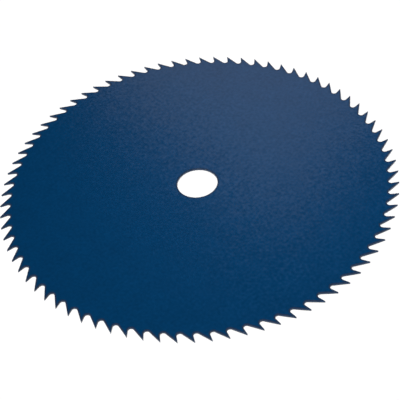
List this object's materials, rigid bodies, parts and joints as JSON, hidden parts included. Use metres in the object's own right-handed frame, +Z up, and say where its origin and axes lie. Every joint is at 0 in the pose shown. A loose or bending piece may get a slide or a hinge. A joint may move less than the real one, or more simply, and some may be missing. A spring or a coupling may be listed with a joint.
{
  "type": "brush cutter blade",
  "caption": "Flat round steel blade for a brush cutter, with hooked saw teeth all round its rim and a plain round centre bore.",
  "frame": {"origin": "on the bore's axis, at the underside of the plate", "axes": "+Z up along the bore's axis, +X through the point of one tooth; seen from +Z the cutting faces look anticlockwise"},
  "size_m": [0.25, 0.25, 0.0012],
  "materials": {
    "powder_coated_steel": "deep blue powder coat over the whole plate, fine-grained, satin"
  },
  "bodies": {
    "root": {"blade": "powder_coated_steel"}
  },
  "joints": []
}
